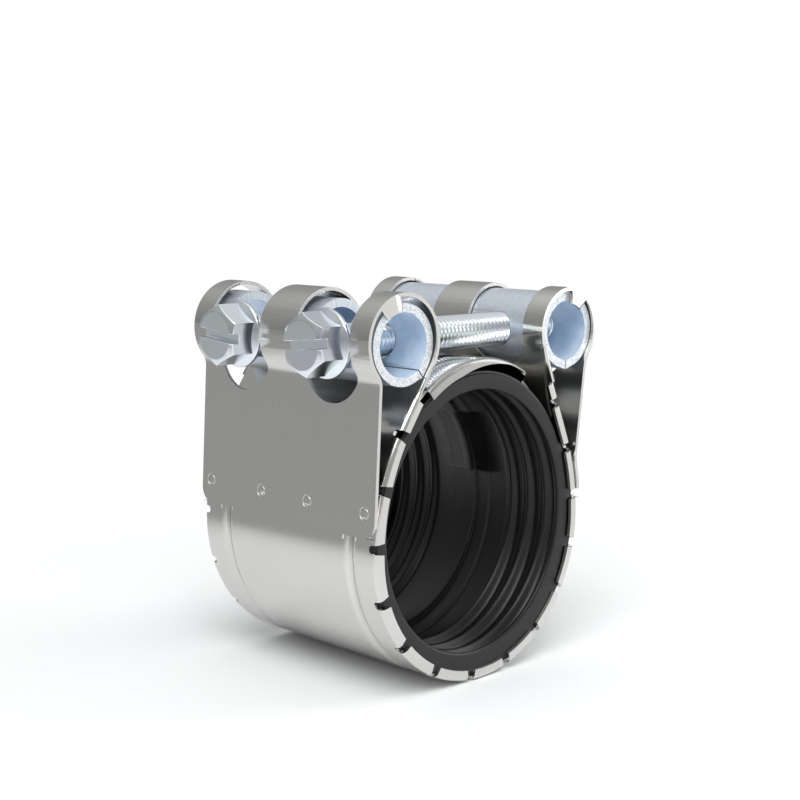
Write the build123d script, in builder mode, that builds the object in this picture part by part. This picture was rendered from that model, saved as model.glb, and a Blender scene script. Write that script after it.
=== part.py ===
from build123d import *
import os
from math import acos, atan2, cos, degrees, hypot, pi, radians, sin, sqrt

# Rubber gasket, in millimetres
pipe_bore_r = 28.75        # lips and ridges
bore_shift_x = -0.9        # bore centre from the band's centre
bore_shift_z = 2.6
gasket_side_wall = 2.6     # from the round bore to the oval outside
gasket_top_wall = 5.9
gasket_drop = 0.35         # oval's centre below the bore's centre
gasket_gap = 0.1           # to the inside of the band's grooves
gasket_edge = 0.6          # chamfer that clears the inside of the band's folds
rib_height = 1.3
lip_w = 1.2
rib_inset = 4.35           # outermost ridge, from the gasket's end
rib_pitch = 5.3
ribs_each_end = 3
middle_band_w = 3.6
step_y = 5.4
step_height = 0.5

# Sheet steel band
band_width = 58.5          # along the pipe
sheet = 0.8                # sheet thickness
band_clearance = 1.25      # lower half's inside, over the gasket's half width
shoulder_r = 50.0          # flatter flanks above the lower half, to the middle of the sheet
foot_r = 8.0               # where a plate comes down on to the band
plate_foot_angle = 4.4     # lower edge of the plates, about the flank's centre
plate_corner_r = 3.5

# Folded and notched edges of the band
fold_r = 1.2               # outside radius of the fold
tab_depth = 2.5            # of the folded edge, from the outer face of the band
tab_drop = 11.7            # upper end of the folded edge, below the tubes' axis
notch_w = 1.8
notch_depth = 2.2
notch_mouth = 2.8          # width where the folded edge ends
notch_end_margin = 2.5     # least band left between a notch and the end of the fold

# Two recessed grooves around the lower half
groove_inset = 8.35        # from the band's edge
groove_w = 4.4
groove_depth = 0.75
groove_end_angle = 7.0     # hidden under the plates

# Tubes in the loops, with a wall folded to an edge at the seam
tube_od = 17.6
tube_wall = 1.9
tube_rise = 11.2           # axis, above the top of the lower half's circle
seam_bend = 17.0           # of each flat beside the seam
seam_gap = 0.3
end_gap = 0.1              # between folded edges and what lies inside them
end_tab_depth = 3.8        # small tabs that keep the tubes in
end_tab_start = 48.0
end_tab_arc = 36.0

# Left end, where the bolt heads are: the tube is pulled in and leaves its loop slack
left_strand_angle = 34.2   # inner strand from upright
left_loop_play = 0.9       # of the loop's radius over the tube's
left_loop_shift = (0.45, 0.6)
left_neck_r = 4.0          # where the outer sheet turns from the loop into the plate
left_neck_angle = 39.5
left_contact_angle = 5.0   # where the plate meets the band
left_notch_first = 3.6     # from the lowest point
left_notch_pitch = 12.5    # along the band

# Right end, where the bolts are screwed in
right_strand_angle = 23.0
right_loop_play = 0.25
right_loop_shift = (0.0, 0.2)
right_neck_r = 8.0
right_neck_angle = 37.2
right_contact_angle = 13.5
right_notch_first = 8.7
right_notch_pitch = 12.05

# Bolts
bolt_inset = 14.65         # from the band's edge
bolt_d = 7.9
bolt_length = 70.0
bolt_tip_chamfer = 0.8
hex_af = 12.0
flange_d = 15.2
flange_t = 1.8
head_height = 7.6          # flange and hexagon together
head_face_d = 10.6         # flat top inside the chamfer
slot_w = 2.1
slot_depth = 2.2
bearing_gap = 0.05
thread_fit = 0.05          # radial, bolt to tapped hole
clearance_hole_d = 9.0
front_bolt_turn = -5.5
rear_bolt_turn = 5.0

# Openings for the bolts
cutout_w = 17.6
outer_cutout_drop = 12.9   # lowest point in the plate, below the tubes' axis
inner_cutout_drop = 9.2    # lowest point in the inner strand
tube_slot_w = 11.6
tube_slot_start = -35.0
tube_slot_arc = 170.0

# Spot welds
weld_inner_y = 7.8
weld_inset = 3.25          # outer ones, from the band's edge
weld_rise = 5.4            # above the plate's lower edge
weld_ring_d = 2.6
weld_ring_w = 0.5

# Bridge plate over the gasket
bridge_sheet = 0.7
bridge_ease = 0.14         # radius over the gasket's own at its top
bridge_lift = 2.2          # over the top of the gasket
bridge_gap = 0.05          # to the strand that it lies against
bridge_right_angle = 23.0
bridge_fold_start = 60.0
bridge_fold_end = 127.0
bridge_fold_depth = 2.6
bridge_fold_r = 1.0
bridge_taper_start = 72.0  # the folded edge fades out between these angles
bridge_taper_end = 105.0
tongue_angle = 50.0        # where the right end has narrowed to a tongue
tongue_inset = 5.0

# Derived sizes
gasket_half_w = pipe_bore_r + gasket_side_wall
gasket_half_h = pipe_bore_r + gasket_top_wall
gasket_top = bore_shift_z - gasket_drop + gasket_half_h
band_r = gasket_half_w + band_clearance + sheet / 2
inside_length = band_width - 2 * (sheet + end_gap)
rib_first = inside_length / 2 - rib_inset
groove_y = band_width / 2 - groove_inset
bolt_y = band_width / 2 - bolt_inset
weld_y = (weld_inner_y, band_width / 2 - weld_inset)
tube_r = tube_od / 2
tube_z = band_r + tube_rise
tab_top = tube_z - tab_drop
shoulder_x = band_r - shoulder_r
foot_rise = shoulder_r + sheet
plate_edge_z = foot_rise * sin(radians(plate_foot_angle))
band_centre = Vector(-bore_shift_x, 0, -bore_shift_z)


def polar(centre, radius, angle):
    """Point at a radius and an angle in degrees from a centre, in the plane of one side."""
    return (centre[0] + radius * cos(radians(angle)), centre[1] + radius * sin(radians(angle)))


class Side:
    """One end of the band, drawn with x away from the bore and y up, from the band's centre."""

    def __init__(self, x_dir, strand_angle, play, shift, neck_r, neck_angle, contact_angle, notches):
        self.plane = Plane(origin=band_centre, x_dir=x_dir, z_dir=Vector(*x_dir).cross(Vector(0, 0, 1)))
        self.strand_angle = strand_angle
        self.notch_first, self.notch_pitch = notches

        # Strand, tangent to the flank and to the loop
        self.shoulder = (shoulder_x, 0)
        self.loop_r = tube_r + play + sheet / 2
        self.strand_start = polar(self.shoulder, shoulder_r, strand_angle)
        loop_z = tube_z + shift[1]
        loop_rise = loop_z - (shoulder_r + self.loop_r) * sin(radians(strand_angle))
        strand_run = loop_rise / cos(radians(strand_angle))
        self.strand_end = polar(self.strand_start, strand_run, strand_angle + 90)
        self.loop = polar(self.strand_end, self.loop_r, strand_angle)
        self.tube = (self.loop[0] - shift[0], tube_z)
        self.tab_run = (tab_top - self.strand_start[1]) / cos(radians(strand_angle))
        self.tab_end = polar(self.strand_start, self.tab_run, strand_angle + 90)

        # Plate, from the neck under the loop to its foot on the band
        self.neck_r = neck_r
        self.neck_angle = neck_angle
        self.contact_angle = contact_angle
        self.neck = polar(self.loop, self.loop_r + neck_r, -neck_angle)
        self.foot = polar(self.shoulder, foot_rise + foot_r, contact_angle)
        span = hypot(self.neck[0] - self.foot[0], self.neck[1] - self.foot[1])
        lean = degrees(atan2(self.neck[1] - self.foot[1], self.neck[0] - self.foot[0]))
        self.face_angle = lean + degrees(acos((foot_r - neck_r) / span))

    def point(self, local):
        return self.plane.from_local_coords((local[0], local[1], 0))

    def direction(self, angle):
        return self.plane.x_dir * cos(radians(angle)) + self.plane.y_dir * sin(radians(angle))

    def axis(self, centre):
        return Axis(self.point(centre), self.plane.z_dir)

    def section_plane(self, centre, radius, angle):
        """Plane across the sheet, with x pointing outwards and its normal along the band, upwards."""
        return Plane(
            origin=self.point(polar(centre, radius, angle)),
            x_dir=self.direction(angle),
            z_dir=self.direction(angle + 90),
        )

    def facing_plane(self, x):
        """Plane that faces away from the bore, with y up."""
        return Plane(origin=self.point((x, 0)), x_dir=-self.plane.z_dir, z_dir=self.plane.x_dir)

    def band_length(self):
        return band_r * pi / 2 + shoulder_r * radians(self.strand_angle) + self.tab_run

    def band_place(self, distance):
        """Point on the band and the angle of its outward normal, from the lowest point upwards."""
        quarter = band_r * pi / 2
        flank = shoulder_r * radians(self.strand_angle)
        if distance <= quarter:
            angle = degrees(distance / band_r) - 90
            return polar((0, 0), band_r, angle), angle
        if distance <= quarter + flank:
            angle = degrees((distance - quarter) / shoulder_r)
            return polar(self.shoulder, shoulder_r, angle), angle
        along = distance - quarter - flank
        return polar(self.strand_start, along, self.strand_angle + 90), self.strand_angle


left = Side(
    (-1, 0, 0),
    left_strand_angle,
    left_loop_play,
    left_loop_shift,
    left_neck_r,
    left_neck_angle,
    left_contact_angle,
    (left_notch_first, left_notch_pitch),
)
right = Side(
    (1, 0, 0),
    right_strand_angle,
    right_loop_play,
    right_loop_shift,
    right_neck_r,
    right_neck_angle,
    right_contact_angle,
    (right_notch_first, right_notch_pitch),
)
sides = (left, right)


def sheet_along(path, thickness):
    """Section of a sheet whose middle follows a smooth path."""
    for edge in path.edges():
        trace(edge, line_width=thickness)


def dip(base, y, width, depth):
    """Smooth dip of three tangent arcs of one radius, from x = base down to base - depth."""
    turn = 2 * atan2(depth, width / 2)
    radius = width / 4 / sin(turn)
    angle = degrees(turn)
    CenterArc((base - radius, y - width / 2), radius, 0, angle)
    CenterArc((base - depth + radius, y), radius, 180 + angle, -2 * angle)
    CenterArc((base - radius, y + width / 2), radius, -angle, angle)


def folded_sheet(width, thickness, fold, depth, grooves=()):
    """Section of a sheet folded inwards at both edges, from its middle surface."""
    edge = (width - thickness) / 2
    bend = fold - thickness / 2
    tip = thickness / 2 - depth
    flat_from = bend - edge
    with BuildLine() as path:
        for end in (-1, 1):
            Line((tip, end * edge), (-bend, end * edge))
            CenterArc((-bend, end * (edge - bend)), bend, 0, end * 90)
        for y in grooves:
            Line((0, flat_from), (0, y - groove_w / 2))
            dip(0, y, groove_w, groove_depth)
            flat_from = y + groove_w / 2
        Line((0, flat_from), (0, edge - bend))
    sheet_along(path, thickness)


def loop_and_plate(side):
    """Sheet from the folded edge's end, around the tube and down to the plate's lower edge."""
    loop_start = 180 + side.strand_angle
    neck_start = 180 - side.neck_angle
    face = side.face_angle
    with BuildLine() as path:
        Line(side.tab_end, side.strand_end)
        CenterArc(side.loop, side.loop_r, loop_start, -side.neck_angle - loop_start)
        CenterArc(side.neck, side.neck_r, neck_start, face - neck_start)
        Line(polar(side.neck, side.neck_r, face), polar(side.foot, foot_r, face))
        CenterArc(side.foot, foot_r, face, 180 + side.contact_angle - face)
        CenterArc(side.shoulder, foot_rise, plate_foot_angle, side.contact_angle - plate_foot_angle)
    sheet_along(path, sheet)


def plate_place(side):
    """Outer face of the plate where the welds are, and the angle of its outward normal."""
    weld_angle = plate_foot_angle + degrees(weld_rise / foot_rise)
    if weld_angle <= side.contact_angle:
        return polar(side.shoulder, foot_rise + sheet / 2, weld_angle), weld_angle
    start = polar(side.foot, foot_r - sheet / 2, side.face_angle)
    rise = foot_rise * sin(radians(weld_angle)) - start[1]
    return polar(start, rise, side.face_angle - 90), side.face_angle - 180


def bent_tube_section(side, seam_angle):
    """Round tube section whose wall meets in a shallow edge, with an open seam there."""

    def outline(radius, mode):
        Circle(radius, mode=mode)
        apex = radius / cos(radians(seam_bend))
        kite = [
            (0, 0),
            polar((0, 0), radius, seam_angle - seam_bend),
            polar((0, 0), apex, seam_angle),
            polar((0, 0), radius, seam_angle + seam_bend),
        ]
        Polygon(*kite, align=None, mode=mode)

    with Locations(side.tube):
        outline(tube_r, Mode.ADD)
        outline(tube_r - tube_wall, Mode.SUBTRACT)
        with Locations(polar((0, 0), tube_r, seam_angle)):
            Rectangle(2 * tube_wall + seam_gap, seam_gap, rotation=seam_angle, mode=Mode.SUBTRACT)


# Casing: one sheet, looped at both ends, with its edges folded in
with BuildPart() as casing:
    for side in sides:
        with BuildSketch(side.plane):
            loop_and_plate(side)
        extrude(amount=band_width / 2, both=True)

    # Rounded lower corners of the plates
    for side in sides:
        with BuildSketch(side.facing_plane(0)):
            for end in (-1, 1):
                inset = plate_corner_r / 2
                with Locations((end * (band_width / 2 - inset), plate_edge_z + inset)):
                    Rectangle(plate_corner_r, plate_corner_r)
                with Locations((end * (band_width / 2 - 2 * inset), plate_edge_z + 2 * inset)):
                    Circle(plate_corner_r, mode=Mode.SUBTRACT)
        extrude(amount=2 * band_r, mode=Mode.SUBTRACT)

    # Round lower half, flatter flanks and straight strands, as one folded and grooved strip
    for side in sides:
        with BuildSketch(side.section_plane(side.shoulder, shoulder_r, 0)):
            folded_sheet(band_width, sheet, fold_r, tab_depth, grooves=(-groove_y, groove_y))
        lower_face = casing.pending_faces[0]
        revolve(axis=side.axis(side.shoulder), revolution_arc=groove_end_angle)
        revolve(profiles=lower_face, axis=side.axis((0, 0)).reverse(), revolution_arc=90)
        with BuildSketch(side.section_plane(side.shoulder, shoulder_r, groove_end_angle)):
            folded_sheet(band_width, sheet, fold_r, tab_depth)
        revolve(axis=side.axis(side.shoulder), revolution_arc=side.strand_angle - groove_end_angle)
        with BuildSketch(side.section_plane(side.shoulder, shoulder_r, side.strand_angle)):
            folded_sheet(band_width, sheet, fold_r, tab_depth)
        extrude(amount=side.tab_run)

    # Round-ended notches that let the folded edges follow the curve
    for side in sides:
        notched = side.band_length() - notch_end_margin - side.notch_first
        notches = int(notched // side.notch_pitch) + 1
        for index in range(notches):
            place, normal = side.band_place(side.notch_first + index * side.notch_pitch)
            outward = side.direction(normal)
            surface = Plane(origin=side.point(place), x_dir=(0, 1, 0), z_dir=outward)
            with BuildSketch(surface):
                with GridLocations(band_width, 0, 2, 1):
                    SlotOverall(2 * notch_depth, notch_w)
            extrude(amount=fold_r, both=True, mode=Mode.SUBTRACT)
            across = Plane(origin=side.point(place), x_dir=outward, z_dir=(0, 1, 0))
            with BuildSketch(across.offset(-band_width / 2), across.offset(band_width / 2)):
                reach = tab_depth + sheet
                Polygon(
                    (sheet, notch_w / 2),
                    (sheet, -notch_w / 2),
                    (-reach, -notch_mouth / 2),
                    (-reach, notch_mouth / 2),
                    align=None,
                )
            extrude(amount=fold_r, both=True, mode=Mode.SUBTRACT)

    # Openings that let the bolts pass the loops
    for side in sides:
        for drop, reach in ((outer_cutout_drop, 3 * tube_r), (inner_cutout_drop, -1.5 * tube_r)):
            bottom = tube_z - drop
            slot = 2 * (2 * tube_r + drop)
            with BuildSketch(side.facing_plane(side.tube[0])):
                with Locations((-bolt_y, bottom + slot / 2), (bolt_y, bottom + slot / 2)):
                    SlotOverall(slot, cutout_w, rotation=90)
            extrude(amount=reach, mode=Mode.SUBTRACT)

    # Small tabs folded over the ends of the tubes
    for side in sides:
        for end in (-1, 1):
            with BuildSketch(side.plane.offset(end * band_width / 2)):
                with BuildLine():
                    tab_r = side.loop_r + sheet / 2 - end_tab_depth / 2
                    CenterArc(side.loop, tab_r, end_tab_start, end_tab_arc)
                trace(line_width=end_tab_depth)
            extrude(amount=-end * sheet)

    # Spot welds: a ring pressed into the plate
    for side in sides:
        place, normal = plate_place(side)
        weld_plane = Plane(origin=side.point(place), x_dir=(0, 1, 0), z_dir=side.direction(normal))
        with Locations(*(weld_plane * Pos(end * y, 0, 0) for y in weld_y for end in (-1, 1))):
            Torus(weld_ring_d / 2, weld_ring_w / 2, mode=Mode.SUBTRACT)

casing.part.label = "casing"
export_step(casing.part, "parts/casing.step")


# Tube under the bolt heads: slotted from the top and outer side so that the bolts can swing in
with BuildPart() as clearance_tube:
    with BuildSketch(left.plane):
        bent_tube_section(left, 180 + left.strand_angle + seam_bend)
    extrude(amount=inside_length / 2, both=True)
    for y in (-bolt_y, bolt_y):
        with BuildSketch(left.plane.offset(y)):
            with BuildLine():
                CenterArc(left.tube, tube_r - tube_wall / 2, tube_slot_start, tube_slot_arc)
            trace(line_width=2 * tube_wall)
        extrude(amount=tube_slot_w / 2, both=True, mode=Mode.SUBTRACT)
        inner_wall = Plane(origin=left.point(left.tube) + Vector(0, y, 0), z_dir=(1, 0, 0))
        with BuildSketch(inner_wall):
            Circle(clearance_hole_d / 2)
        extrude(amount=2 * tube_r, mode=Mode.SUBTRACT)
clearance_tube.part.label = "clearance_tube"
export_step(clearance_tube.part, "parts/clearance_tube.step")


# Tube that the bolts screw into
with BuildPart() as threaded_tube:
    with BuildSketch(right.plane):
        bent_tube_section(right, 270)
    extrude(amount=inside_length / 2, both=True)
    for y in (-bolt_y, bolt_y):
        with BuildSketch(Plane(origin=right.point(right.tube) + Vector(0, y, 0), z_dir=(1, 0, 0))):
            Circle(bolt_d / 2 + thread_fit)
        extrude(amount=2 * tube_r, both=True, mode=Mode.SUBTRACT)
threaded_tube.part.label = "threaded_tube"
export_step(threaded_tube.part, "parts/threaded_tube.step")


def flange_bolt(y, turn):
    """Hexagon flange bolt with a screwdriver slot, along +X from under its flange."""
    flange_x = -(left.tube[0] + tube_r + bearing_gap)
    seat = band_centre + Vector(flange_x, y, tube_z)
    base = Plane(origin=seat, x_dir=Vector(0, cos(radians(turn)), sin(radians(turn))), z_dir=(-1, 0, 0))
    with BuildPart() as bolt:
        with BuildSketch(base):
            Circle(bolt_d / 2)
        extrude(amount=-bolt_length)
        chamfer(bolt.edges().sort_by(Axis.X)[-1], bolt_tip_chamfer)
        with BuildSketch(base):
            Circle(flange_d / 2)
        extrude(amount=flange_t)
        rim = bolt.edges().filter_by(GeomType.CIRCLE).sort_by(Axis.X)[0]
        chamfer(rim, flange_t / 3)
        with BuildSketch(base.offset(flange_t)):
            RegularPolygon(hex_af / 2, 6, major_radius=False, rotation=30)
        extrude(amount=head_height - flange_t)
        # The hexagon's corners are turned down to a round face
        wedge = flange_d - head_face_d / 2
        with BuildSketch(Plane(origin=seat, x_dir=(-1, 0, 0), z_dir=base.y_dir)):
            Polygon(
                (head_height, head_face_d / 2),
                (head_height, flange_d),
                (head_height - wedge / sqrt(3), flange_d),
                align=None,
            )
        revolve(axis=Axis(seat, (1, 0, 0)), mode=Mode.SUBTRACT)
        with BuildSketch(base.offset(head_height)):
            Rectangle(flange_d, slot_w)
        extrude(amount=-slot_depth, mode=Mode.SUBTRACT)
    return bolt


for name, y, turn in (("bolt_front", -bolt_y, front_bolt_turn), ("bolt_rear", bolt_y, rear_bolt_turn)):
    bolt = flange_bolt(y, turn)
    bolt.part.label = name
    export_step(bolt.part, f"parts/{name}.step")


# Rubber gasket: oval outside, round bore with sealing ridges at both ends
with BuildPart() as gasket:
    with BuildSketch(Plane(origin=(0, 0, -gasket_drop), x_dir=(1, 0, 0), z_dir=(0, -1, 0))):
        Ellipse(gasket_half_w, gasket_half_h)
    extrude(amount=inside_length / 2, both=True)
    chamfer(gasket.edges().filter_by(GeomType.ELLIPSE), gasket_edge)

    # Seats for the inward side of the band's grooves
    seat_r = band_r - sheet / 2 - groove_depth - gasket_gap
    seat_end_angle = 2 * groove_end_angle
    with BuildSketch(right.section_plane((0, 0), seat_r + groove_depth, seat_end_angle)):
        with Locations((0, -groove_y), (0, groove_y)):
            Rectangle(2 * groove_depth, groove_w + 2 * gasket_gap)
    revolve(
        axis=right.axis((0, 0)).reverse(),
        revolution_arc=180 + 2 * seat_end_angle,
        mode=Mode.SUBTRACT,
    )

    # Bore with lips, ridges and a raised middle band
    valley_r = pipe_bore_r + rib_height
    end_y = inside_length / 2
    with BuildSketch(Plane.XY):
        with BuildLine():
            Line((0, -end_y), (0, end_y))
            for end in (-1, 1):
                outer_valley = rib_first + rib_pitch / 2
                inner_valley = outer_valley - ribs_each_end * rib_pitch
                Polyline(
                    (0, end * end_y),
                    (pipe_bore_r, end * end_y),
                    (pipe_bore_r, end * (end_y - lip_w)),
                    (valley_r, end * outer_valley),
                )
                for rib in range(ribs_each_end):
                    dip(valley_r, end * (rib_first - rib * rib_pitch), rib_pitch, rib_height)
                Polyline(
                    (valley_r, end * inner_valley),
                    (valley_r, end * step_y),
                    (valley_r - step_height, end * step_y),
                    (valley_r - step_height, end * middle_band_w / 2),
                    (pipe_bore_r, end * middle_band_w / 2),
                )
            Line((pipe_bore_r, -middle_band_w / 2), (pipe_bore_r, middle_band_w / 2))
        make_face()
    revolve(axis=Axis.Y, mode=Mode.SUBTRACT)
gasket.part.label = "gasket"
export_step(gasket.part, "parts/gasket.step")


# Bridge plate: polished strip that spans the band's opening over the gasket
bridge_r = gasket_half_w ** 2 / gasket_half_h + bridge_ease
bridge_z = gasket_top + bridge_lift + bridge_sheet / 2 - bridge_r
strand_rise = left.strand_start[1] - bridge_z
strand_distance = bridge_r + bridge_sheet / 2 + bridge_gap + sheet / 2
bridge_x = left.strand_start[0] - (
    strand_distance - strand_rise * sin(radians(left.strand_angle))
) / cos(radians(left.strand_angle))
bridge_centre = (bridge_x, bridge_z)
with BuildPart() as bridge_plate:
    with BuildSketch(left.section_plane(bridge_centre, bridge_r, left.strand_angle)):
        Rectangle(bridge_sheet, inside_length - 2 * (fold_r - sheet))
    revolve(axis=left.axis(bridge_centre), revolution_arc=180 - bridge_right_angle - left.strand_angle)
    with BuildSketch(left.section_plane(bridge_centre, bridge_r, 180 - bridge_fold_end)):
        folded_sheet(band_width, bridge_sheet, bridge_fold_r, bridge_fold_depth)
    revolve(axis=left.axis(bridge_centre), revolution_arc=bridge_fold_end - bridge_fold_start)

    # The folded edge fades out towards the right
    inner_r = bridge_r - bridge_sheet / 2
    fold_tip_r = bridge_r + bridge_sheet / 2 - bridge_fold_depth
    clear_r = fold_tip_r - bridge_fold_depth
    with BuildSketch(Plane(origin=left.point(bridge_centre), x_dir=(1, 0, 0), z_dir=(0, -1, 0))):
        with BuildLine():
            full = polar((0, 0), fold_tip_r, bridge_taper_end)
            middle = polar((0, 0), (fold_tip_r + inner_r) / 2, (bridge_taper_start + bridge_taper_end) / 2)
            gone = polar((0, 0), inner_r, bridge_taper_start)
            ThreePointArc(full, middle, gone)
            CenterArc((0, 0), inner_r, bridge_taper_start, bridge_fold_start - bridge_taper_start)
            Polyline(
                polar((0, 0), inner_r, bridge_fold_start),
                polar((0, 0), clear_r, bridge_fold_start),
                polar((0, 0), clear_r, bridge_taper_end),
                full,
            )
        make_face()
    extrude(amount=band_width / 2, both=True, mode=Mode.SUBTRACT)

    # The right end is a narrower tongue that slides between the band's folded edges
    with BuildSketch(Plane(origin=left.point(bridge_centre), x_dir=(1, 0, 0), z_dir=(0, 0, 1))):
        for end in (-1, 1):
            edge = end * band_width / 2
            tongue_edge = end * (band_width / 2 - tongue_inset)
            Polygon(
                (bridge_r * cos(radians(bridge_fold_start)), edge),
                (bridge_r * cos(radians(tongue_angle)), tongue_edge),
                (2 * bridge_r, tongue_edge),
                (2 * bridge_r, edge),
                align=None,
            )
    extrude(amount=2 * bridge_r, mode=Mode.SUBTRACT)
bridge_plate.part.label = "bridge_plate"
export_step(bridge_plate.part, "parts/bridge_plate.step")
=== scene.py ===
import math

import bmesh
import bpy
from mathutils import Matrix, Vector


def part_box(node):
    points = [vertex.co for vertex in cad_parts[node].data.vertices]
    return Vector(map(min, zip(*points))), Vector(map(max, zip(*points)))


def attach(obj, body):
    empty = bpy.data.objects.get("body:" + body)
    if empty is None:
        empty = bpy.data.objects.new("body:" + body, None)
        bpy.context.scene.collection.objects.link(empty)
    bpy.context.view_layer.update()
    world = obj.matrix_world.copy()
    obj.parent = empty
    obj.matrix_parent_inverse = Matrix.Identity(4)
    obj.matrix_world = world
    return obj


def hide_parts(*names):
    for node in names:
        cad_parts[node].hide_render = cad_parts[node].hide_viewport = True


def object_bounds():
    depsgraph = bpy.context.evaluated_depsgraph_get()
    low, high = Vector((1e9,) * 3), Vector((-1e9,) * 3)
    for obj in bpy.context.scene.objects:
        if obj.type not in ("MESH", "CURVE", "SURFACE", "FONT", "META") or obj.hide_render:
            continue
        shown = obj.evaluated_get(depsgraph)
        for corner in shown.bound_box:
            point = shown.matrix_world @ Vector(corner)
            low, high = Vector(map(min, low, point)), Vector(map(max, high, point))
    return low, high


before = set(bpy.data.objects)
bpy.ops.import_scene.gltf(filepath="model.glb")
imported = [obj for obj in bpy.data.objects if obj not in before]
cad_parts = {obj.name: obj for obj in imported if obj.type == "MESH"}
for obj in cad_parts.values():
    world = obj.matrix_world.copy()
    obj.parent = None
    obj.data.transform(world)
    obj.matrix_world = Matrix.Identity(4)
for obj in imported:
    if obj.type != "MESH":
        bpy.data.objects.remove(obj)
cad_low, cad_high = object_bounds()
MM = 0.001
TURN = math.radians(360)

# The photograph's view, in millimetres and degrees
CAMERA_PLACE = (-242.16, -248.48, 73.07)
CAMERA_ANGLES = (44.632, 7.898, 0.354)    # right of +Y, down, and rolled
CAMERA_LENS, CAMERA_SENSOR = 67.13, 36.0

# Floor and light, in metres
FLOOR_HALF = 3.0
FLOOR_GAP = 0.02 * MM
LAMP_TARGET = (0, 0, 0.02)

# The coupling, in millimetres and degrees, in the CAD's frame
BOLT_Y = 14.6
TUBE_Z = 41.6                # middle of the clamping tubes and of the bolts
LEFT_TUBE_X, RIGHT_TUBE_X = -23.87, 29.63
TUBE_BORE_R = 6.9
SHEET = 0.8
CUT_EDGE_TURN = 35.0         # the sheet turns by more than this into its cut edge
CUT_EDGE_RIM = 14.0          # a shorter outline is a weld's ring or a notch
BAND_CENTRE = (0.9, -2.6)    # X and Z of the middle of the band's lower half
BAND_R = 33.0                # to the middle of the sheet
SHOULDER_R = 50.0            # flanks above the lower half, to the middle of the sheet
FOOT_R = 8.0                 # bend where a plate comes down on the band
FOOT_ANGLES = (5.0, 13.5)    # of the left and the right bend, up from level

# Bolts
HEAD_HEIGHT = 7.6
HEAD_FACE_R = 5.3
HEAD_CHAMFER = 30.0          # from the face
ACROSS_FLATS = 12.0
FLANGE_R, FLANGE_T = 7.6, 1.8
RIM_R, RIM_X = 0.4, 0.75     # round of the flange's rim, and its middle
RIM_ANGLE = 54.0             # the rim turns by this into the cone
CONE_R = 6.25                # where the cone reaches the hexagon
EDGE_BREAK = 0.13
SLOT_W, SLOT_DEPTH = 2.1, 2.2
FRONT_SLOT_TURN = -5.5       # from level
REAR_SLOT_TURN = 5.0
ROUND_STEPS = 96
CORNER_STEPS = 5
PITCH = 1.25
CREST_R, ROOT_R = 3.95, 3.27
CREST_FALL = 0.04            # roundness of the thread's crest and root
ROOT_RISE = 0.06
THREAD_CHAMFER = 0.8
THREAD_STEPS = 48

# Gasket, round before the band presses it
BORE_R = 28.75
GASKET_OUT_R = 33.0
GASKET_HALF = 28.35
LIP_R = 0.5                  # lip at the bore's mouth: its round, width and height
LIP_EDGE, LIP_RISE = 1.3, 0.25
RIB_FIRST, RIB_PITCH, RIB_COUNT, RIB_HEIGHT = 24.0, 5.3, 3, 1.3
RIB_NARROWING = 1.9          # above 1 the valleys are wider than the ridges
RIB_STEPS = 24
STEP_Y, STEP_HEIGHT = 5.4, 0.5    # thicker wall near the middle
STEP_RAMP, STEP_EDGE = 0.5, 0.2
MIDDLE_HALF = 1.8            # what the two pipe ends come up against
MIDDLE_EDGE = 0.3
SEAT_Y, SEAT_HALF = 20.9, 2.4     # seat of the band's groove
SEAT_DEPTH, SEAT_RAMP = 0.9, 0.6
FACE_RIM, SET_BACK = 0.7, 0.3     # the face stands proud of the rubber in the fold
FACE_ROUND = 0.05
GASKET_STEPS = 180
# Gasket as pressed: centre, and reach across and up, of the bore and of the face's rim
BORE_OVAL = ((-0.2, 0.4), (28.1, 29.8))
FACE_OVAL = ((0.0, -0.35), (31.35, 34.65))
BULGE = 1.0                  # below the middle, where the band presses hardest
GASKET_GAP = 0.1             # to the inside of the band
FILL_ANGLES = (15.0, 30.0)   # above the middle, between these, the rubber leaves the band


def place_camera():
    """The photograph's view: from the left front, a little above the bolts."""
    azimuth, fall, roll = (math.radians(angle) for angle in CAMERA_ANGLES)
    ahead = Vector((
        math.sin(azimuth) * math.cos(fall),
        math.cos(azimuth) * math.cos(fall),
        -math.sin(fall),
    ))
    level_right = ahead.cross(Vector((0, 0, 1))).normalized()
    level_up = level_right.cross(ahead)
    right = math.cos(roll) * level_right + math.sin(roll) * level_up
    up = math.cos(roll) * level_up - math.sin(roll) * level_right
    camera = bpy.data.objects.new("camera", bpy.data.cameras.new("camera"))
    bpy.context.scene.collection.objects.link(camera)
    turn = Matrix((right, up, -ahead)).transposed().to_4x4()
    camera.matrix_world = Matrix.Translation(Vector(CAMERA_PLACE) * MM) @ turn
    camera.data.lens = CAMERA_LENS
    camera.data.sensor_width = CAMERA_SENSOR
    camera.data.clip_start = 0.01
    bpy.context.scene.camera = camera


def soft_lamp(name, place, size, power):
    """A softbox aimed at the object; place and size in metres."""
    light = bpy.data.lights.new(name, "AREA")
    light.shape = "RECTANGLE"
    light.size, light.size_y = size
    light.energy = power
    lamp = bpy.data.objects.new(name, light)
    lamp.location = place
    lamp.rotation_euler = (Vector(LAMP_TARGET) - Vector(place)).to_track_quat("-Z", "Y").to_euler()
    bpy.context.scene.collection.objects.link(lamp)


def linear(colour):
    """An sRGB hex colour as linear red, green, blue and alpha."""
    parts = (int(colour[i:i + 2], 16) / 255 for i in (1, 3, 5))
    return [c / 12.92 if c <= 0.04045 else ((c + 0.055) / 1.055) ** 2.4 for c in parts] + [1.0]


def feed(tree, node, links):
    """Lead outputs to a node's sockets."""
    for key, output in links.items():
        tree.links.new(output, node.inputs[key])


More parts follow.
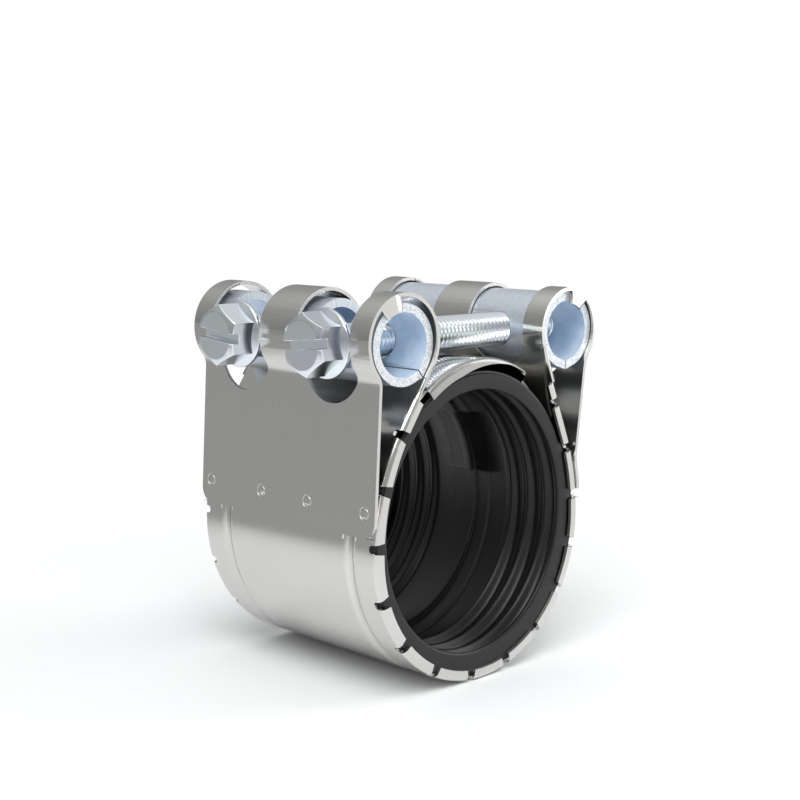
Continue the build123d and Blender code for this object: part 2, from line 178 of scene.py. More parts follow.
def add(tree, kind, settings=None, links=None):
    """Add a node with its settings and the outputs that feed it. A setting is a property, a socket
    or a ramp's stops, each a place from 0 to 1 and a hex colour or a grey."""
    made = tree.nodes.new(kind)
    for key, value in (settings or {}).items():
        if key == "stops":
            elements = made.color_ramp.elements
            while len(elements) < len(value):
                elements.new(0.5)
            for element, (place, colour) in zip(elements, value):
                element.position = place
                element.color = linear(colour) if isinstance(colour, str) else (colour,) * 3 + (1,)
        elif isinstance(key, int) or (key in made.inputs and not hasattr(made, key)):
            made.inputs[key].default_value = value
        else:
            setattr(made, key, value)
    feed(tree, made, links or {})
    return made


def material(name, sockets):
    """A node material with what is the same all over set on its shader. Comes with its tree, its
    shader and the Object coordinates that its patterns read, in metres."""
    made = bpy.data.materials.new(name)
    made.use_nodes = True
    tree = made.node_tree
    shader = tree.nodes["Principled BSDF"]
    for key, value in sockets.items():
        shader.inputs[key].default_value = value
    return made, tree, shader, add(tree, "ShaderNodeTexCoord").outputs["Object"]


def room_light():
    """White for the camera. Metal sees a studio: white behind the camera and overhead, and grey
    where the far side of the room stands low behind the sweep."""
    world = bpy.data.worlds.new("studio")
    bpy.context.scene.world = world
    world.use_nodes = True
    tree = world.node_tree
    tree.nodes.clear()
    path = add(tree, "ShaderNodeLightPath")
    way = add(tree, "ShaderNodeTexCoord").outputs["Generated"]
    parts = add(tree, "ShaderNodeSeparateXYZ", links={0: way})
    # From straight down at 0 to straight up at 1
    height = add(tree, "ShaderNodeMapRange", {"From Min": -1.0, "From Max": 1.0},
                 {"Value": parts.outputs["Z"]}).outputs["Result"]
    far_side = add(tree, "ShaderNodeValToRGB", {"stops": (
        (0.0, 0.42), (0.48, 0.40), (0.53, 0.27), (0.62, 0.32), (0.76, 0.40), (0.86, 0.60),
        (0.94, 0.95), (1.0, 0.95))}, {"Fac": height})
    near_side = add(tree, "ShaderNodeValToRGB", {"stops": (
        (0.0, 0.9), (0.5, 0.55), (0.56, 0.40), (0.72, 0.45), (0.86, 0.7), (1.0, 0.95))},
        {"Fac": height})
    towards = add(tree, "ShaderNodeVectorMath", {"operation": "DOT_PRODUCT", 1: (0.3, -0.95, 0.0)},
                  {0: way})
    front = add(tree, "ShaderNodeMapRange",
                {"interpolation_type": "SMOOTHSTEP", "From Min": -0.1, "From Max": 0.6},
                {"Value": towards.outputs["Value"]})
    room = add(tree, "ShaderNodeMix", {"data_type": "RGBA"},
               {0: front.outputs["Result"], 6: far_side.outputs[0], 7: near_side.outputs[0]})
    studio = add(tree, "ShaderNodeBackground", {"Strength": 1.0}, {"Color": room.outputs[2]})
    white = add(tree, "ShaderNodeBackground", {"Color": (1, 1, 1, 1), "Strength": 1.0})
    shown = add(tree, "ShaderNodeMixShader",
                links={0: path.outputs["Is Camera Ray"], 1: studio.outputs[0], 2: white.outputs[0]})
    add(tree, "ShaderNodeOutputWorld", links={"Surface": shown.outputs[0]})


def lay_floor():
    """A pale sweep, plain white beyond the object's shadow. Metal sees it white in front, and
    falling off to grey behind."""
    shape = bmesh.new()
    bmesh.ops.create_grid(shape, x_segments=8, y_segments=8, size=FLOOR_HALF)
    bmesh.ops.translate(shape, verts=shape.verts, vec=(0, 0, cad_low.z - FLOOR_GAP))
    floor = piece_from(shape, "floor", smooth=False)
    sweep, tree, shader, coord = material(
        "white_card_sweep", {"Base Color": linear("#f5f7f8"), "Roughness": 0.8})
    path = add(tree, "ShaderNodeLightPath").outputs
    # The shadow ends, and the white begins, between 70 and 200 mm from the middle
    away = add(tree, "ShaderNodeVectorMath", {"operation": "LENGTH"}, {0: coord})
    edge = add(tree, "ShaderNodeMapRange",
               {"interpolation_type": "SMOOTHSTEP", "From Min": 0.07, "From Max": 0.20},
               {"Value": away.outputs["Value"]})
    seen = add(tree, "ShaderNodeMath", {"operation": "MAXIMUM"},
               {0: path["Is Camera Ray"], 1: path["Is Glossy Ray"]})
    share = add(tree, "ShaderNodeMath", {"operation": "MULTIPLY"},
                {0: edge.outputs["Result"], 1: seen.outputs[0]})
    # For metal the white falls off between 60 and 200 mm behind the plates
    behind = add(tree, "ShaderNodeVectorMath", {"operation": "DOT_PRODUCT", 1: (-0.7, 0.7, 0.0)},
                 {0: coord})
    falling = add(tree, "ShaderNodeMapRange",
                  {"From Min": 0.06, "From Max": 0.20, "To Min": 1.0, "To Max": 0.42},
                  {"Value": behind.outputs["Value"]})
    strength = add(tree, "ShaderNodeMath", {"operation": "MAXIMUM"},
                   {0: path["Is Camera Ray"], 1: falling.outputs["Result"]})
    glow = add(tree, "ShaderNodeEmission", {"Color": (1, 1, 1, 1)},
               {"Strength": strength.outputs[0]})
    both = add(tree, "ShaderNodeMixShader",
               links={0: share.outputs[0], 1: shader.outputs[0], 2: glow.outputs[0]})
    feed(tree, tree.nodes["Material Output"], {"Surface": both.outputs[0]})
    # The glow is for reflections and is no lamp, which keeps the bore dark
    sweep.cycles.emission_sampling = "NONE"
    floor.data.materials.append(sweep)


def piece_from(shape, name, smooth=True):
    """Turn a finished bmesh into an object of that name, at the origin."""
    mesh = bpy.data.meshes.new(name)
    shape.to_mesh(mesh)
    shape.free()
    mesh.polygons.foreach_set("use_smooth", [smooth] * len(mesh.polygons))
    made = bpy.data.objects.new(name, mesh)
    bpy.context.scene.collection.objects.link(made)
    return made


def settle(piece):
    """Apply the piece's modifiers to its mesh."""
    shown = piece.evaluated_get(bpy.context.evaluated_depsgraph_get())
    piece.data = bpy.data.meshes.new_from_object(shown)
    piece.modifiers.clear()


def lift(piece, shape):
    """Take a helper piece's mesh into the bmesh, and drop the piece."""
    shape.from_mesh(piece.data)
    bpy.data.objects.remove(piece)
    return shape


def sharpen(piece, angle, weigh):
    """Keep edges crisp that turn by more than the angle. Weighing lets large flats set the
    shading."""
    piece.data.set_sharp_from_angle(angle=math.radians(angle))
    if weigh:
        weighted = piece.modifiers.new("weighted_normals", "WEIGHTED_NORMAL")
        weighted.keep_sharp = True


def profile_line(shape, points):
    """An open chain of edges through the (x, y, z) points: its corners and then its edges."""
    corners = [shape.verts.new(p) for p in points]
    return corners + [shape.edges.new(pair) for pair in zip(corners, corners[1:])]


def combine(piece, other_shape, operation):
    """Cut, join or intersect the piece with another closed shape, for good."""
    other = piece_from(other_shape, piece.name + "_tool", smooth=False)
    modifier = piece.modifiers.new("combine", "BOOLEAN")
    modifier.operation = operation
    modifier.solver = "EXACT"
    modifier.object = other
    settle(piece)
    bpy.data.objects.remove(other)


def turned(points, steps):
    """A closed shape turned about X from (x, radius) points; the first and last lie on the axis."""
    shape = bmesh.new()
    chain = profile_line(shape, [(x, 0, r) for x, r in points])
    bmesh.ops.spin(shape, geom=chain, cent=(0, 0, 0), axis=(1, 0, 0), angle=TURN, steps=steps,
                   use_merge=True)
    bmesh.ops.remove_doubles(shape, verts=shape.verts, dist=0.0001)
    bmesh.ops.recalc_face_normals(shape, faces=shape.faces)
    return shape


def merged_copy(node):
    """The CAD node's surface as one connected mesh, in metres."""
    shape = bmesh.new()
    shape.from_mesh(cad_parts[node].data)
    bmesh.ops.remove_doubles(shape, verts=shape.verts, dist=0.002 * MM)
    return shape


def patches(shape, angle):
    """Groups of faces that run into one another without a crisp edge."""
    limit = math.radians(angle)
    shape.faces.ensure_lookup_table()
    seen = set()
    groups = []
    for first in shape.faces:
        if first in seen:
            continue
        seen.add(first)
        group, waiting = [], [first]
        while waiting:
            face = waiting.pop()
            group.append(face)
            for edge in face.edges:
                if not edge.is_manifold or edge.calc_face_angle() > limit:
                    continue
                for other in edge.link_faces:
                    if other not in seen:
                        seen.add(other)
                        waiting.append(other)
        groups.append(group)
    return groups


def finish_cut_edges(shape):
    """Give the narrow faces where the sheet was sheared the piece's second finish."""
    widest = 1.05 * SHEET * MM
    for group in patches(shape, CUT_EDGE_TURN):
        inside = set(group)
        area = sum(face.calc_area() for face in group)
        rim = sum(edge.calc_length() for face in group for edge in face.edges
                  if not all(other in inside for other in edge.link_faces))
        # A strip's width is twice its area over its outline
        if rim > CUT_EDGE_RIM * MM and 2 * area / rim < widest:
            for face in group:
                face.material_index = 1


def shoulder_centre(side):
    """X and Z of the middle of a flank's arc, on the left at -1 and on the right at 1."""
    return Vector((BAND_CENTRE[0] - side * (SHOULDER_R - BAND_R), BAND_CENTRE[1]))


def band_arcs():
    """Centres and reaches, from inside to outside, of the arcs that the band's surface follows."""
    slack = 0.5
    arcs = [(Vector(BAND_CENTRE), BAND_R - SHEET - slack, BAND_R + slack)]
    for side, angle in zip((-1, 1), FOOT_ANGLES):
        shoulder = shoulder_centre(side)
        reach = SHOULDER_R + SHEET + FOOT_R
        turn = math.radians(angle)
        foot = shoulder + reach * Vector((side * math.cos(turn), math.sin(turn)))
        arcs.append((shoulder, SHOULDER_R - slack, SHOULDER_R + SHEET + slack))
        arcs.append((foot, FOOT_R - slack, FOOT_R + slack))
    return arcs


def true_arcs(piece):
    """Shade the band's arcs with their exact normals, because its triangles there are uneven."""
    settle(piece)
    arcs = band_arcs()
    mesh = piece.data
    tilt, agreement = 0.02, 0.998    # most along the pipe, and least cosine to the arc's normal
    normals = [Vector(corner.vector) for corner in mesh.corner_normals]
    spots = [Vector((vert.co.x, vert.co.z)) / MM for vert in mesh.vertices]
    for polygon in mesh.polygons:
        if abs(polygon.normal.y) > tilt:
            continue
        flat = Vector((polygon.normal.x, polygon.normal.z)).normalized()
        corners = [spots[index] for index in polygon.vertices]
        for centre, nearest, farthest in arcs:
            out = [spot - centre for spot in corners]
            if not all(nearest < ray.length < farthest for ray in out):
                continue
            middle = sum(out, Vector((0, 0))).normalized()
            if abs(middle.dot(flat)) < agreement:
                continue
            sign = 1 if middle.dot(flat) > 0 else -1
            for corner, ray in zip(polygon.loop_indices, out):
                ray = ray.normalized() * sign
                normals[corner] = Vector((ray.x, 0, ray.y))
            break
    mesh.normals_split_custom_set(normals)


def dress(shape, name, node, body, finishes, crisp_angle, weigh=True):
    """Put a mesh in a CAD node's place, with its finishes."""
    made = piece_from(shape, name)
    sharpen(made, crisp_angle, weigh)
    for finish in finishes:
        made.data.materials.append(finish)
    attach(made, body)
    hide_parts(node)
    return made


def rolled_stainless():
    """Bright-annealed stainless strip: a soft mirror, with fine rolling lines round the band."""
    made, tree, shader, coord = material("rolled_stainless", {"Metallic": 1.0})
    # Rolling lines 0.05 mm apart, drawn 0.3 mm apart so that they show
    stretch = add(tree, "ShaderNodeMapping", {"Scale": (20, 3300, 20)}, {"Vector": coord})
    lines = add(tree, "ShaderNodeTexNoise", {"Scale": 1.0, "Detail": 3.0, "Roughness": 0.5},
                {"Vector": stretch.outputs[0]}).outputs["Fac"]
    # Faint handling marks, 15 mm across
    marks = add(tree, "ShaderNodeTexNoise", {"Scale": 65.0, "Detail": 4.0}, {"Vector": coord})
    shade = add(tree, "ShaderNodeValToRGB", {"stops": ((0.2, "#d1d0cd"), (0.8, "#d5d4d1"))},
                {"Fac": lines})
    rough = add(tree, "ShaderNodeMapRange",
                {"From Min": 0.3, "From Max": 0.7, "To Min": 0.13, "To Max": 0.17},
                {"Value": marks.outputs["Fac"]})
    bump = add(tree, "ShaderNodeBump", {"Strength": 0.03, "Distance": 0.00001}, {"Height": lines})
    feed(tree, shader, {"Base Color": shade.outputs[0], "Roughness": rough.outputs[0],
                        "Normal": bump.outputs[0]})
    return made


def sheared_stainless():
    """The sheet's cut edge: torn bright and matt by the shear, with a fine torn grain."""
    made, tree, shader, coord = material("sheared_stainless", {"Metallic": 1.0, "Roughness": 0.42})
    # Tears 0.15 mm apart
    tears = add(tree, "ShaderNodeTexNoise", {"Scale": 6600.0, "Detail": 2.0},
                {"Vector": coord}).outputs["Fac"]
    shade = add(tree, "ShaderNodeValToRGB", {"stops": ((0.3, "#b9b8b5"), (0.7, "#dddcd9"))},
                {"Fac": tears})
    bump = add(tree, "ShaderNodeBump", {"Strength": 0.4, "Distance": 0.00004}, {"Height": tears})
    feed(tree, shader, {"Base Color": shade.outputs[0], "Normal": bump.outputs[0]})
    return made


def polished_stainless():
    """Polished stainless strip: a mirror with faint lines, and an orange-peel grain where the
    folded edge was stretched."""
    made, tree, shader, coord = material("polished_stainless", {"Metallic": 1.0})
    # Polishing lines, drawn 0.4 mm apart
    stretch = add(tree, "ShaderNodeMapping", {"Scale": (30, 2500, 30)}, {"Vector": coord})
    lines = add(tree, "ShaderNodeTexNoise", {"Scale": 1.0, "Detail": 3.0},
                {"Vector": stretch.outputs[0]})
    colour = add(tree, "ShaderNodeValToRGB", {"stops": ((0.3, "#cfcecb"), (0.7, "#dad9d6"))},
                 {"Fac": lines.outputs["Fac"]})
    # Orange peel, 0.4 mm, on the folded edge that faces the pipe's end
    place = add(tree, "ShaderNodeSeparateXYZ", links={0: coord})
    along = add(tree, "ShaderNodeMath", {"operation": "ABSOLUTE"}, {0: place.outputs["Y"]})
    fold = add(tree, "ShaderNodeMapRange", {"From Min": 0.0275, "From Max": 0.0287},
               {"Value": along.outputs[0]}).outputs["Result"]
    grain = add(tree, "ShaderNodeTexNoise", {"Scale": 2500.0, "Detail": 2.0}, {"Vector": coord})
    dulled = add(tree, "ShaderNodeMix", {"data_type": "RGBA", 7: linear("#a6a6a4")},
                 {0: fold, 6: colour.outputs["Color"]})
    grained = add(tree, "ShaderNodeMath", {"operation": "MULTIPLY"},
                  {0: grain.outputs["Fac"], 1: fold})
    rough = add(tree, "ShaderNodeMapRange", {"To Min": 0.07, "To Max": 0.3}, {"Value": fold})
    bump = add(tree, "ShaderNodeBump", {"Strength": 0.6, "Distance": 0.0001},
               {"Height": grained.outputs[0]})
    feed(tree, shader, {"Base Color": dulled.outputs[2], "Roughness": rough.outputs[0],
                        "Normal": bump.outputs[0]})
    return made


def zinc_on_tube():
    """Zinc plate over hot-rolled tube: blue-grey, matt, with the steel's own fine grain. The
    passivate on it scatters some light."""
    made, tree, shader, coord = material("zinc_plated_tube", {"Metallic": 0.75})
    # Grain 0.3 mm
    grain = add(tree, "ShaderNodeTexNoise", {"Scale": 3300.0, "Detail": 4.0},
                {"Vector": coord}).outputs["Fac"]
    shade = add(tree, "ShaderNodeValToRGB", {"stops": ((0.3, "#c0c9d5"), (0.7, "#dde4ec"))},
                {"Fac": grain})
    rough = add(tree, "ShaderNodeMapRange",
                {"From Min": 0.3, "From Max": 0.7, "To Min": 0.36, "To Max": 0.48},
                {"Value": grain})
    bump = add(tree, "ShaderNodeBump", {"Strength": 0.3, "Distance": 0.00003}, {"Height": grain})
    feed(tree, shader, {"Base Color": shade.outputs[0], "Roughness": rough.outputs[0],
                        "Normal": bump.outputs[0]})
    return made


def zinc_painted_bright_in_bore():
    """The tubes' zinc, painted paler, bluer and less metallic inside the bores so that it scatters
    most light: painted light that makes the bores look brightly lit.
    """
    made, tree, shader, coord = material(
        "zinc_bore_painted_bright", {"Metallic": 0.25, "Roughness": 0.32})
    # Patches 6 mm across, with 0.4 mm grain
    bore_pale_spots = add(tree, "ShaderNodeTexNoise", {"Scale": 160.0, "Detail": 5.0, "Roughness": 0.6},
                {"Vector": coord})
    grain = add(tree, "ShaderNodeTexNoise", {"Scale": 2500.0, "Detail": 2.0}, {"Vector": coord})
    # Painted light: paler and bluer than the outside's zinc, standing in for the light that fills
    # the bores
    shade = add(tree, "ShaderNodeValToRGB",
                {"stops": ((0.35, "#c2d7ef"), (0.5, "#d0e2f5"), (0.7, "#e6f0fa"))},
                {"Fac": bore_pale_spots.outputs["Fac"]})
    bump = add(tree, "ShaderNodeBump", {"Strength": 0.3, "Distance": 0.00004},
               {"Height": grain.outputs["Fac"]})
    feed(tree, shader, {"Base Color": shade.outputs[0], "Normal": bump.outputs[0]})
    return made


def zinc_on_cut(name, tube_x):
    """Zinc over the tube's sawn ends and punched slots: near white, the slots scored from bore to
    outside."""
    made, tree, shader, coord = material(name, {"Metallic": 0.7, "Roughness": 0.45})
    centred = add(tree, "ShaderNodeMapping", {"Location": (-tube_x * MM, 0, -TUBE_Z * MM)},
                  {"Vector": coord})
    parts = add(tree, "ShaderNodeSeparateXYZ", links={0: centred.outputs[0]})
    angle = add(tree, "ShaderNodeMath", {"operation": "ARCTAN2"},
                {0: parts.outputs["Z"], 1: parts.outputs["X"]})
    # Score marks 0.25 mm apart at a radius of 8 mm, and only sawn grain, 0.4 mm, on the ends
    scores = add(tree, "ShaderNodeTexNoise",
                 {"noise_dimensions": "1D", "Scale": 32.0, "Detail": 3.0},
                 {"W": angle.outputs[0]})
    grain = add(tree, "ShaderNodeTexNoise", {"Scale": 2600.0, "Detail": 3.0}, {"Vector": coord})
    along = add(tree, "ShaderNodeMath", {"operation": "ABSOLUTE"}, {0: parts.outputs["Y"]})
    end = add(tree, "ShaderNodeMath", {"operation": "GREATER_THAN", 1: 0.026},
              {0: along.outputs[0]})
    torn = add(tree, "ShaderNodeMix", {"data_type": "FLOAT"},
               {0: end.outputs[0], 2: scores.outputs["Fac"], 3: grain.outputs["Fac"]}).outputs[0]
    shade = add(tree, "ShaderNodeValToRGB", {"stops": ((0.32, "#b5bdc5"), (0.6, "#e6eaed"))},
                {"Fac": torn})
    bump = add(tree, "ShaderNodeBump", {"Strength": 0.6, "Distance": 0.00009}, {"Height": torn})
    feed(tree, shader, {"Base Color": shade.outputs[0], "Normal": bump.outputs[0]})
    return made


def zinc_on_bolt():
    """Bright zinc with a blue passivate: silver, drifting to a green and a lilac cast."""
    made, tree, shader, coord = material("zinc_plated_bolt", {"Metallic": 1.0})
    # The passivate's tint drifts over some 8 mm
    drift = add(tree, "ShaderNodeTexNoise", {"Scale": 120.0, "Detail": 2.0}, {"Vector": coord})
    tint = add(tree, "ShaderNodeValToRGB",
               {"stops": ((0.3, "#e4eeee"), (0.5, "#e8eff5"), (0.7, "#eaecf8"))},
               {"Fac": drift.outputs["Fac"]})
    # Forging skin, 0.5 mm
    skin = add(tree, "ShaderNodeTexNoise", {"Scale": 2000.0, "Detail": 3.0},
               {"Vector": coord}).outputs["Fac"]
    rough = add(tree, "ShaderNodeMapRange",
                {"From Min": 0.35, "From Max": 0.65, "To Min": 0.19, "To Max": 0.22},
                {"Value": skin})
    bump = add(tree, "ShaderNodeBump", {"Strength": 0.04, "Distance": 0.00002}, {"Height": skin})
    feed(tree, shader, {"Base Color": tint.outputs[0], "Roughness": rough.outputs[0],
                        "Normal": bump.outputs[0]})
    return made


def moulded_rubber():
    """Moulded EPDM rubber: near black with a soft sheen, faintly dusted, smooth from the mould."""
    made, tree, shader, coord = material("moulded_epdm_rubber", {"IOR": 1.45})
    # Dusting 7 mm across
    bloom = add(tree, "ShaderNodeTexNoise", {"Scale": 140.0, "Detail": 5.0},
                {"Vector": coord}).outputs["Fac"]
    # Mould grain, 0.15 mm drawn 0.3 mm
    skin = add(tree, "ShaderNodeTexNoise", {"Scale": 3300.0, "Detail": 2.0}, {"Vector": coord})
    colour = add(tree, "ShaderNodeValToRGB", {"stops": ((0.35, "#0b0b0d"), (0.65, "#101013"))},
                 {"Fac": bloom})
    rough = add(tree, "ShaderNodeMapRange",
                {"From Min": 0.3, "From Max": 0.7, "To Min": 0.36, "To Max": 0.42},
                {"Value": bloom})
    bump = add(tree, "ShaderNodeBump", {"Strength": 0.15, "Distance": 0.00004},
               {"Height": skin.outputs["Fac"]})
    feed(tree, shader, {"Base Color": colour.outputs[0], "Roughness": rough.outputs[0],
                        "Normal": bump.outputs[0]})
    return made


def bolt_head():
    """Slotted hexagon with a chamfered round face, on a flange; axis on X, face towards -X, the
    bearing face at 0, in mm."""
    face = -HEAD_HEIGHT
    # The bearing face's edge is rounded a little, and the rim more
    flange = [(0, 0), (0, FLANGE_R - 0.3), (-0.12, FLANGE_R - 0.08), (-0.4, FLANGE_R)]
    for i in range(CORNER_STEPS + 1):
        turn = math.radians(RIM_ANGLE) * i / CORNER_STEPS
        flange.append((-RIM_X - RIM_R * math.sin(turn), FLANGE_R - RIM_R + RIM_R * math.cos(turn)))
    # The last corners lie inside the hexagon
    sunk = -FLANGE_T - 0.35
    flange += [(-FLANGE_T, CONE_R), (sunk, CONE_R - 0.55), (sunk, 0)]
    head = piece_from(turned(flange, ROUND_STEPS), "bolt_head", smooth=False)
    corner_r = ACROSS_FLATS / 2 / math.cos(TURN / 12)
    root = -0.8    # inside the flange
    hexagon = bmesh.new()
    bmesh.ops.create_circle(hexagon, cap_ends=True, segments=6, radius=corner_r)
    bmesh.ops.rotate(hexagon, verts=hexagon.verts, cent=(0, 0, 0),
                     matrix=Matrix.Rotation(TURN / 4, 3, "Y"))
    # A corner goes straight up, so that the slot runs from flat to flat
    first = hexagon.verts[:][0].co
    corner = math.atan2(first.z, first.y)
    bmesh.ops.rotate(hexagon, verts=hexagon.verts, cent=(0, 0, 0),
                     matrix=Matrix.Rotation(TURN / 4 - corner, 3, "X"))
    bmesh.ops.translate(hexagon, verts=hexagon.verts, vec=(root, 0, 0))
    grown = bmesh.ops.extrude_face_region(hexagon, geom=hexagon.faces[:])["geom"]
    tops = [g for g in grown if isinstance(g, bmesh.types.BMVert)]
    bmesh.ops.translate(hexagon, verts=tops, vec=(face - root, 0, 0))
    bmesh.ops.recalc_face_normals(hexagon, faces=hexagon.faces)
    stem = piece_from(hexagon, "bolt_hexagon", smooth=False)
    # A turned blank, wider than the hexagon, chamfers its corners
    wide = corner_r + 1
    chamfer_x = face + (wide - HEAD_FACE_R) * math.tan(math.radians(HEAD_CHAMFER))
    blank = [(1, 0), (1, wide), (chamfer_x, wide), (face, HEAD_FACE_R), (face, 0)]
    combine(stem, turned(blank, ROUND_STEPS), "INTERSECT")
    combine(head, lift(stem, bmesh.new()), "UNION")
    slot = bmesh.new()
    bmesh.ops.create_cube(slot, size=1.0)
    bmesh.ops.scale(slot, verts=slot.verts, vec=(2 * SLOT_DEPTH, 2.5 * ACROSS_FLATS, SLOT_W))
    bmesh.ops.translate(slot, verts=slot.verts, vec=(face, 0, 0))
    combine(head, slot, "DIFFERENCE")
    shape = lift(head, bmesh.new())
    bmesh.ops.remove_doubles(shape, verts=shape.verts, dist=0.005)
    above_cone = -FLANGE_T - 0.2
    crisp = [e for e in shape.edges if e.is_manifold and e.calc_face_angle() > math.radians(20)
             and all(v.co.x < above_cone for v in e.verts)]
    bmesh.ops.bevel(shape, geom=crisp, offset=EDGE_BREAK, affect="EDGES", segments=1, profile=0.5,
                    material=-1, clamp_overlap=True)
    return shape


def bolt_thread(length):
    """A rolled M8 thread with a chamfered end, closed at both ends; axis on X, in mm."""
    flat = PITCH / 8
    slope = (PITCH - 3 * flat) / 2
    buried = -0.5    # the rod starts inside the head
    near = 0.001     # points nearer than this are one
    profile = [
        (0, ROOT_R + ROOT_RISE), (flat, ROOT_R), (2 * flat, ROOT_R + ROOT_RISE),
        (2 * flat + slope, CREST_R - CREST_FALL), (2.5 * flat + slope, CREST_R),
        (3 * flat + slope, CREST_R - CREST_FALL), (PITCH, ROOT_R + ROOT_RISE),
    ]
    line = bmesh.new()
    profile_line(line, [(x, 0, r) for x, r in profile])
    rod = piece_from(line, "thread")
    screw = rod.modifiers.new("thread", "SCREW")
    screw.axis = "X"
    screw.angle = TURN
    screw.screw_offset = PITCH
    screw.iterations = math.ceil(length / PITCH) + 2
    screw.steps = screw.render_steps = THREAD_STEPS
    screw.use_merge_vertices = True
    screw.merge_threshold = near
    settle(rod)
    shape = lift(rod, bmesh.new())
    bmesh.ops.remove_doubles(shape, verts=shape.verts, dist=near)
    bmesh.ops.translate(shape, verts=shape.verts, vec=(-PITCH, 0, 0))
    for place, outward in ((buried, -1), (length, 1)):
        cut = bmesh.ops.bisect_plane(shape, geom=shape.verts[:] + shape.edges[:] + shape.faces[:],
                                     plane_co=(place, 0, 0), plane_no=(outward, 0, 0),
                                     clear_outer=True)
        rim = [g for g in cut["geom_cut"] if isinstance(g, bmesh.types.BMEdge)]
        bmesh.ops.edgeloop_fill(shape, edges=rim)
    for vert in shape.verts:
        past = vert.co.x - (length - THREAD_CHAMFER)
        limit = CREST_R - past
        radius = math.hypot(vert.co.y, vert.co.z)
        if past > 0 and radius > limit:
            vert.co.y *= limit / radius
            vert.co.z *= limit / radius
    bmesh.ops.recalc_face_normals(shape, faces=shape.faces)
    return shape


def make_bolt(name, node, body, y, slot_turn, finish):
    """A slotted hexagon flange bolt in its node's place; slot_turn in degrees from level."""
    low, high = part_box(node)
    bearing_x = low.x / MM + HEAD_HEIGHT
    shape = bolt_head()
    lift(piece_from(bolt_thread(high.x / MM - bearing_x), name + "_rod"), shape)
    turn = Matrix.Rotation(math.radians(slot_turn), 4, "X")
    bmesh.ops.transform(shape, matrix=turn, verts=shape.verts)
    bmesh.ops.translate(shape, verts=shape.verts, vec=(bearing_x, y, TUBE_Z))
    bmesh.ops.scale(shape, verts=shape.verts, vec=(MM, MM, MM))
    dress(shape, name, node, body, [finish], crisp_angle=18)


def gasket_profile():
    """One end of the section, from the middle of the bore to the middle of the outside: along
    the pipe, and out from the pipe's middle."""
    valley = BORE_R + RIB_HEIGHT
    step = valley - STEP_HEIGHT
    line = [(0, BORE_R), (MIDDLE_HALF - MIDDLE_EDGE, BORE_R), (MIDDLE_HALF, BORE_R + MIDDLE_EDGE),
            (MIDDLE_HALF, step - STEP_EDGE), (MIDDLE_HALF + STEP_EDGE, step),
            (STEP_Y, step), (STEP_Y + STEP_RAMP, valley)]
    start = RIB_FIRST - (RIB_COUNT - 0.5) * RIB_PITCH
    for i in range(RIB_COUNT * RIB_STEPS + 1):
        phase = i / RIB_STEPS
        swell = 0.5 - 0.5 * math.cos(TURN * phase)
        line.append((start + phase * RIB_PITCH, valley - RIB_HEIGHT * swell ** RIB_NARROWING))
    line.append((GASKET_HALF - LIP_EDGE, BORE_R + LIP_RISE))
    for i in range(CORNER_STEPS + 1):
        turn = TURN / 4 * i / CORNER_STEPS
        line.append((GASKET_HALF - LIP_R + LIP_R * math.sin(turn),
                     BORE_R + LIP_R - LIP_R * math.cos(turn)))
    line += [(GASKET_HALF, GASKET_OUT_R - FACE_RIM),
             (GASKET_HALF - SET_BACK + FACE_ROUND, GASKET_OUT_R - FACE_RIM + 3 * FACE_ROUND),
             (GASKET_HALF - SET_BACK, GASKET_OUT_R - FACE_ROUND),
             (GASKET_HALF - FACE_RIM, GASKET_OUT_R),
             (SEAT_Y + SEAT_HALF, GASKET_OUT_R),
             (SEAT_Y + SEAT_HALF - SEAT_RAMP, GASKET_OUT_R - SEAT_DEPTH),
             (SEAT_Y - SEAT_HALF + SEAT_RAMP, GASKET_OUT_R - SEAT_DEPTH),
             (SEAT_Y - SEAT_HALF, GASKET_OUT_R), (0, GASKET_OUT_R)]
    return line


def band_reach(angle):
    """How far the inside of the band lies from the pipe's middle, at an angle up from +X."""
    way = Vector((math.cos(angle), math.sin(angle)))

    def hit(centre, radius):
        along = way.dot(centre)
        return along + math.sqrt(along ** 2 - centre.length_squared + (radius - SHEET / 2) ** 2)

    reach = hit(Vector(BAND_CENTRE), BAND_R)
    if reach * way.y > BAND_CENTRE[1]:
        reach = hit(shoulder_centre(1 if way.x > 0 else -1), SHOULDER_R)
    return reach


def fade(value, start, end):
    """From 0 at the start to 1 at the end, and no further."""
    return min(max((value - start) / (end - start), 0.0), 1.0)


def pressed(spot):
    """Where the band's pull moves a point of the round sleeve, in mm."""
    angle = math.atan2(spot.z, spot.x)
    nominal = math.hypot(spot.x, spot.z)
    along = abs(spot.y)
    wall = GASKET_OUT_R - BORE_R
    near = 0.01
    bore, rim = (
        Vector((centre[0] + reach[0] * math.cos(angle), centre[1] + reach[1] * math.sin(angle)))
        for centre, reach in (BORE_OVAL, FACE_OVAL)
    )
    # The bulge grows over the middle third of the height
    low_down = fade(math.sin(angle), 1 / 3, -1 / 3)
    place = bore.lerp(rim, (nominal - BORE_R) / wall * (1 + low_down * BULGE / wall))
    above = math.degrees(math.atan2(place.y, abs(place.x)))
    if above < FILL_ANGLES[1]:
        room = band_reach(math.atan2(place.y, place.x)) - GASKET_GAP
        radius = min(place.length, room - max(0.0, along - GASKET_HALF + SET_BACK))
        # The outside, behind the face, fills the band
        if nominal > GASKET_OUT_R - SEAT_DEPTH - near and along < GASKET_HALF - SET_BACK + near:
            full = room - (GASKET_OUT_R - nominal)
            filled = fade(above, FILL_ANGLES[1], FILL_ANGLES[0])
            radius = min(radius + (full - radius) * filled, full)
        place *= radius / place.length
    return Vector((place.x, spot.y, place.y))


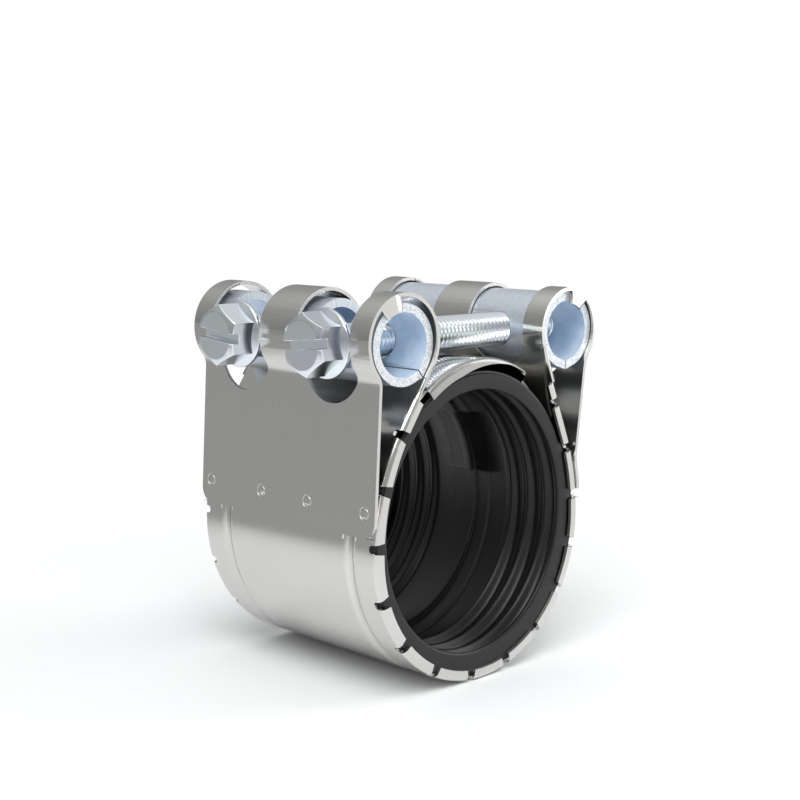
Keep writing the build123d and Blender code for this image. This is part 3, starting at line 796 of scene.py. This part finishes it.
def make_gasket(finish):
    """Ribbed sleeve, spun about the pipe and then pressed into the band's shape."""
    half = gasket_profile()
    closed = half + [(-y, r) for y, r in reversed(half[1:-1])]
    shape = bmesh.new()
    chain = profile_line(shape, [(r, y, 0) for y, r in closed])
    chain.append(shape.edges.new([chain[len(closed) - 1], chain[0]]))
    bmesh.ops.spin(shape, geom=chain, cent=(0, 0, 0), axis=(0, 1, 0), angle=TURN,
                   steps=GASKET_STEPS, use_merge=True)
    bmesh.ops.recalc_face_normals(shape, faces=shape.faces)
    for vert in shape.verts:
        vert.co = pressed(vert.co)
    bmesh.ops.scale(shape, verts=shape.verts, vec=(MM, MM, MM))
    dress(shape, "gasket_sleeve", "gasket", "clamp", [finish], crisp_angle=40,
          weigh=False)


def make_tube(name, node, tube_x, finishes):
    """A clamping tube: the CAD's surface, with a finish each for the outside, the bore and the
    cut faces, which look along the pipe."""
    shape = merged_copy(node)
    bore_limit = TUBE_BORE_R + 0.15
    bore, cut = 1, 2
    for face in shape.faces:
        centre = face.calc_center_median() / MM
        if abs(face.normal.y) > 0.9:
            face.material_index = cut
        elif math.hypot(centre.x - tube_x, centre.z - TUBE_Z) < bore_limit:
            face.material_index = bore
    dress(shape, name, node, "clamp", finishes, crisp_angle=30)


bpy.context.scene.view_settings.view_transform = "Standard"
place_camera()
room_light()
lay_floor()
soft_lamp("key_softbox", place=(-0.45, -0.35, 0.75), size=(0.6, 0.6), power=5.5)
soft_lamp("right_softbox", place=(0.75, -0.45, 0.35), size=(0.4, 0.8), power=3.0)

band_cut = sheared_stainless()
casing = merged_copy("casing")
finish_cut_edges(casing)
true_arcs(dress(casing, "band", "casing", "clamp", [rolled_stainless(), band_cut],
                crisp_angle=30))
bridge = merged_copy("bridge_plate")
finish_cut_edges(bridge)
dress(bridge, "bridge_strip", "bridge_plate", "clamp",
      [polished_stainless(), band_cut], crisp_angle=30)

# The bore's finish is the zinc painted brighter, standing in for light in the bores
tube_zinc, zinc_for_bore_painted_bright = zinc_on_tube(), zinc_painted_bright_in_bore()
for name, node, tube_x in (("left_tube", "clearance_tube", LEFT_TUBE_X),
                           ("right_tube", "threaded_tube", RIGHT_TUBE_X)):
    make_tube(name, node, tube_x, [tube_zinc, zinc_for_bore_painted_bright, zinc_on_cut(name + "_cut_zinc", tube_x)])

bolt_zinc = zinc_on_bolt()
make_bolt("front_bolt_threaded", "bolt_front", "front_bolt", -BOLT_Y, FRONT_SLOT_TURN, bolt_zinc)
make_bolt("rear_bolt_threaded", "bolt_rear", "rear_bolt", BOLT_Y, REAR_SLOT_TURN, bolt_zinc)
make_gasket(moulded_rubber())
